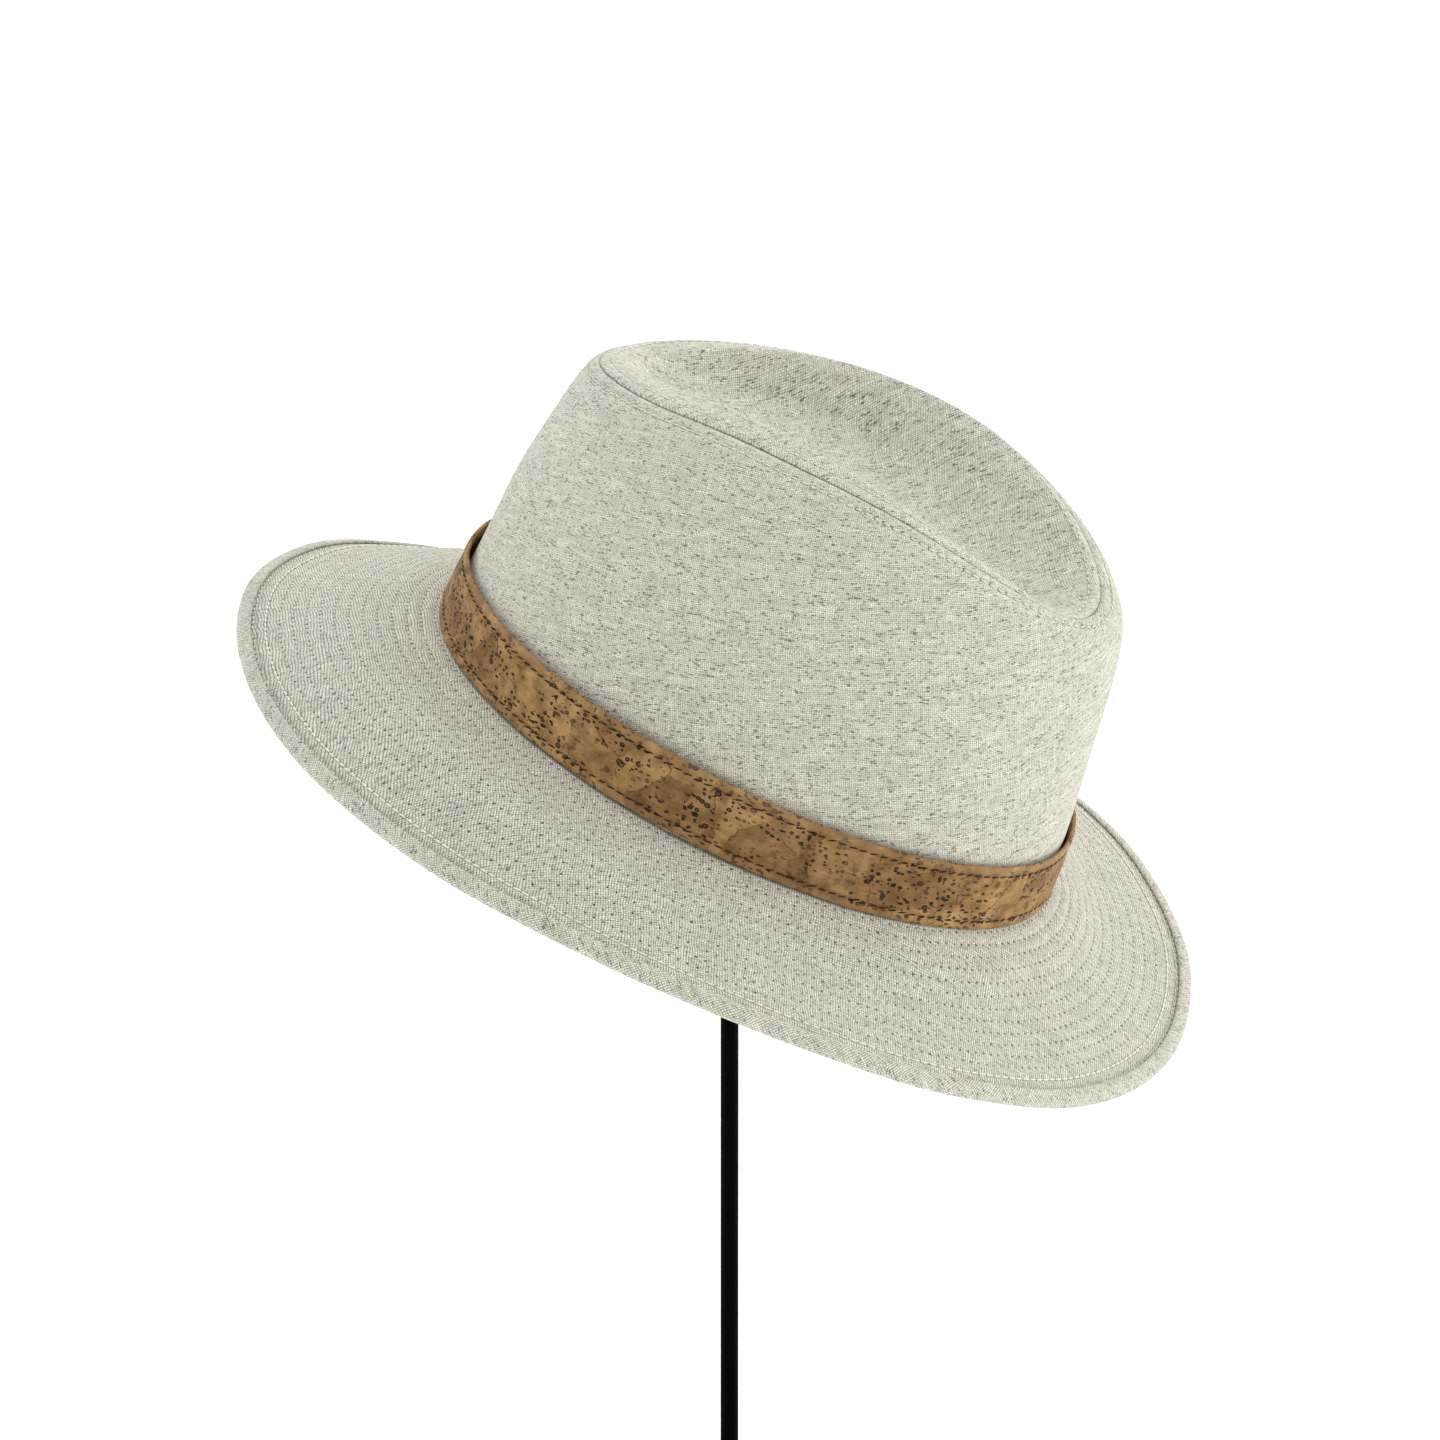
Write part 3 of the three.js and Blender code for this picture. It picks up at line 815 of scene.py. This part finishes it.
cloud = add(tree, "ShaderNodeTexNoise", {"Vector": mm, "Scale": 0.17, "Detail": 4.0})
tan = add(
    tree,
    "ShaderNodeMixRGB",
    {"Fac": patch_tone, "Color1": linear("ba9562"), "Color2": linear("927046")},
)
cloudy = add(
    tree, "ShaderNodeMapRange", {"Value": cloud, "From Min": 0.36, "From Max": 0.64, "To Max": 0.7}
)
tan = add(
    tree, "ShaderNodeMixRGB", {"Fac": cloudy, "Color1": tan, "Color2": linear("66441f")}
)
grained = add(
    tree,
    "ShaderNodeMapRange",
    {"Value": grain, "From Min": 0.3, "From Max": 0.7, "To Min": 0.84, "To Max": 1.14},
)
tan = add(tree, "ShaderNodeVectorMath", {"operation": "SCALE", 0: tan, "Scale": grained})
tan = add(tree, "ShaderNodeMixRGB", {"Fac": vein, "Color1": tan, "Color2": linear("553216")})
pores = None
# spacing in mm, stretch, turn in degrees, least random value that makes a pore, its widest size
for spacing, stretch, pore_turn, rare, widest in (
    (1.5, 1.2, 15, 0.55, 0.46),
    (1.2, 2.2, 40, 0.6, 0.44),
    (4.4, 1.3, 60, 0.1, 0.21),
):
    turned = {
        "Vector": mm,
        "Rotation": (0, 0, math.radians(-pore_turn)),
        "Scale": (1 / (spacing * stretch), 1 / spacing, 1),
    }
    cells = add(
        tree,
        "ShaderNodeTexVoronoi",
        {
            "voronoi_dimensions": "2D",
            "Vector": add(tree, "ShaderNodeMapping", turned),
            "Scale": 1.0,
        },
    )
    chance = add(tree, "ShaderNodeSeparateColor", {"Color": cells.node.outputs["Color"]})
    reach = add(
        tree,
        "ShaderNodeMapRange",
        {"Value": chance, "From Min": rare, "From Max": 1.0, "To Min": 0.0, "To Max": widest},
    )
    inside = add(tree, "ShaderNodeMath", {"operation": "SUBTRACT", 0: reach, 1: cells})
    dark = add(tree, "ShaderNodeMapRange", {"Value": inside, "From Max": 0.08 / spacing})
    hollow = add(
        tree,
        "ShaderNodeMapRange",
        {
            "Value": inside,
            "From Min": 0.3 / spacing,
            "From Max": 0.42 / spacing,
            "To Min": 1.0,
            "To Max": 0.7,
        },
    )
    pore = add(tree, "ShaderNodeMath", {"operation": "MULTIPLY", 0: dark, 1: hollow})
    pores = pore if pores is None else add(
        tree, "ShaderNodeMath", {"operation": "MAXIMUM", 0: pores, 1: pore}
    )
mask = add(tree, "ShaderNodeTexNoise", {"Vector": mm, "Scale": 0.07, "Detail": 2.0})
mask = add(
    tree, "ShaderNodeMapRange", {"Value": mask, "From Min": 0.38, "From Max": 0.52, "To Min": 0.15}
)
pores = add(tree, "ShaderNodeMath", {"operation": "MULTIPLY", 0: pores, 1: mask})
tan = add(tree, "ShaderNodeMixRGB", {"Fac": pores, "Color1": tan, "Color2": linear("1c0d06")})
# The band is paler 1.5 mm from each of its long edges: a painted highlight on the rounded folds
height_up = add(tree, "ShaderNodeSeparateXYZ", {"Vector": mm}, "Y")
from_middle = add(tree, "ShaderNodeMath", {"operation": "SUBTRACT", 0: height_up, 1: 10.3})
from_middle = add(tree, "ShaderNodeMath", {"operation": "ABSOLUTE", 0: from_middle})
pale = add(
    tree,
    "ShaderNodeMapRange",
    {"Value": from_middle, "From Min": 8.3, "From Max": 9.2, "To Max": 0.2},
)
tan = add(tree, "ShaderNodeMixRGB", {"Fac": pale, "Color1": tan, "Color2": linear("b9966a")})
tree.links.new(tan, cork_shader.inputs["Base Color"])
gloss = add(
    tree,
    "ShaderNodeMapRange",
    {"Value": grain, "From Min": 0.3, "From Max": 0.7, "To Min": 0.6, "To Max": 0.78},
)
tree.links.new(gloss, cork_shader.inputs["Roughness"])
height = add(
    tree, "ShaderNodeMath", {"operation": "MULTIPLY_ADD", 0: pores, 1: -1.6, 2: grain}
)
relief = add(tree, "ShaderNodeBump", {"Strength": 0.35, "Distance": 0.0003, "Height": height})
tree.links.new(relief, cork_shader.inputs["Normal"])
whole_piece(band, "cork", "hat_band", material=cork)

band_rows = []
for distance in (BAND_STITCHING, band_run[-1] - BAND_STITCHING):
    ring, normal = ring_at(band_surface, distance)
    band_rows.append((ring, normal, stitches_in(ring, 3.3), 0.0))
sew(
    stitch_rows("hat_band_stitches", band_rows, 0.08),
    "cork",
    stitch_length=0.0028,
    stitch_width=0.0005,
    stitch_height=0.0004,
    slant=0.3,
    seed=11,
    thread=spun_thread("waxed thread, dark brown", "3c2415", "1e110a"),
)


# The stand
# A turned steel foot and a straight rod, powder-coated black, and a rubber knob under the crown.
stand_finishes = {}
# colour, roughness, grain of the surface in mm, its depth in mm
for finish, colour, roughness, grain_size, grain_depth in (
    ("black powder coat", "030303", 0.5, 0.7, 0.03),
    ("black moulded rubber", "0c0c0d", 0.72, 0.35, 0.02),
):
    # Powder coat is baked paint with an orange-peel skin; rubber keeps the fine matt of its mould
    coat = bpy.data.materials.new(finish)
    coat.use_nodes = True
    tree = coat.node_tree
    shader = tree.nodes["Principled BSDF"]
    shader.inputs["Base Color"].default_value = linear(colour)
    shader.inputs["Specular IOR Level"].default_value = 0.02
    spot = add(tree, "ShaderNodeTexCoord", out="Object")
    peel = add(
        tree, "ShaderNodeTexNoise", {"Vector": spot, "Scale": 1000 / grain_size, "Detail": 2.0}
    )
    worn = add(
        tree,
        "ShaderNodeMapRange",
        {"Value": peel, "To Min": roughness - 0.08, "To Max": roughness + 0.08},
    )
    tree.links.new(worn, shader.inputs["Roughness"])
    relief = add(
        tree, "ShaderNodeBump", {"Strength": 0.5, "Distance": grain_depth / 1000, "Height": peel}
    )
    tree.links.new(relief, shader.inputs["Normal"])
    stand_finishes[finish] = coat
for node, finish in (
    ("stand_base", "black powder coat"),
    ("stand_rod", "black powder coat"),
    ("stand_knob", "black moulded rubber"),
):
    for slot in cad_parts[node].material_slots:
        slot.material = stand_finishes[finish]


# The studio
# A white floor that glows a little, so that it is white under the hat too, and a white surround
# that is weaker on the camera's side and behind the hat, and stronger overhead and to the right.
floor_mesh = bpy.data.meshes.new("floor")
floor_mesh.from_pydata([(-8, -8, 0), (8, -8, 0), (8, 8, 0), (-8, 8, 0)], [], [(0, 1, 2, 3)])
floor = bpy.data.objects.new("floor", floor_mesh)
bpy.context.collection.objects.link(floor)
paper = bpy.data.materials.new("white paper")
paper.use_nodes = True
paper_shader = paper.node_tree.nodes["Principled BSDF"]
paper_shader.inputs["Base Color"].default_value = linear("f6f6f5")
paper_shader.inputs["Roughness"].default_value = 0.95
paper_shader.inputs["Emission Color"].default_value = (1, 1, 1, 1)
paper_shader.inputs["Emission Strength"].default_value = 0.35
floor_mesh.materials.append(paper)

world = bpy.data.worlds.new("studio")
bpy.context.scene.world = world
world.use_nodes = True
tree = world.node_tree
facing = add(tree, "ShaderNodeTexCoord", out="Generated")
towards = add(
    tree, "ShaderNodeVectorMath", {"operation": "DOT_PRODUCT", 0: facing, 1: tuple(back)}, "Value"
)
dimmed = add(
    tree,
    "ShaderNodeMapRange",
    {
        "interpolation_type": "SMOOTHSTEP",
        "Value": towards,
        "From Min": -0.1,
        "From Max": 0.9,
        "To Min": 1.36,
        "To Max": 0.47,
    },
)
sideways = add(
    tree, "ShaderNodeVectorMath", {"operation": "DOT_PRODUCT", 0: facing, 1: tuple(right)}, "Value"
)
brighter = add(
    tree,
    "ShaderNodeMapRange",
    {
        "interpolation_type": "SMOOTHSTEP",
        "Value": sideways,
        "From Min": 0.2,
        "From Max": 1.0,
        "To Max": 0.75,
    },
)
strength = add(tree, "ShaderNodeMath", {"operation": "ADD", 0: dimmed, 1: brighter})
overhead = add(tree, "ShaderNodeSeparateXYZ", {"Vector": facing}, "Z")
overhead = add(
    tree,
    "ShaderNodeMapRange",
    {"Value": overhead, "From Min": 0.6, "From Max": 1.0, "To Max": 0.35},
)
strength = add(tree, "ShaderNodeMath", {"operation": "ADD", 0: strength, 1: overhead})
behind = add(
    tree,
    "ShaderNodeMapRange",
    {"Value": towards, "From Min": -1.0, "From Max": -0.2, "To Min": 0.78},
)
strength = add(tree, "ShaderNodeMath", {"operation": "MULTIPLY", 0: strength, 1: behind})
seen = add(tree, "ShaderNodeLightPath", out="Is Camera Ray")
strength = add(tree, "ShaderNodeMath", {"operation": "MAXIMUM", 0: strength, 1: seen})
tree.links.new(strength, tree.nodes["Background"].inputs["Strength"])
tree.nodes["Background"].inputs["Color"].default_value = (1, 1, 1, 1)
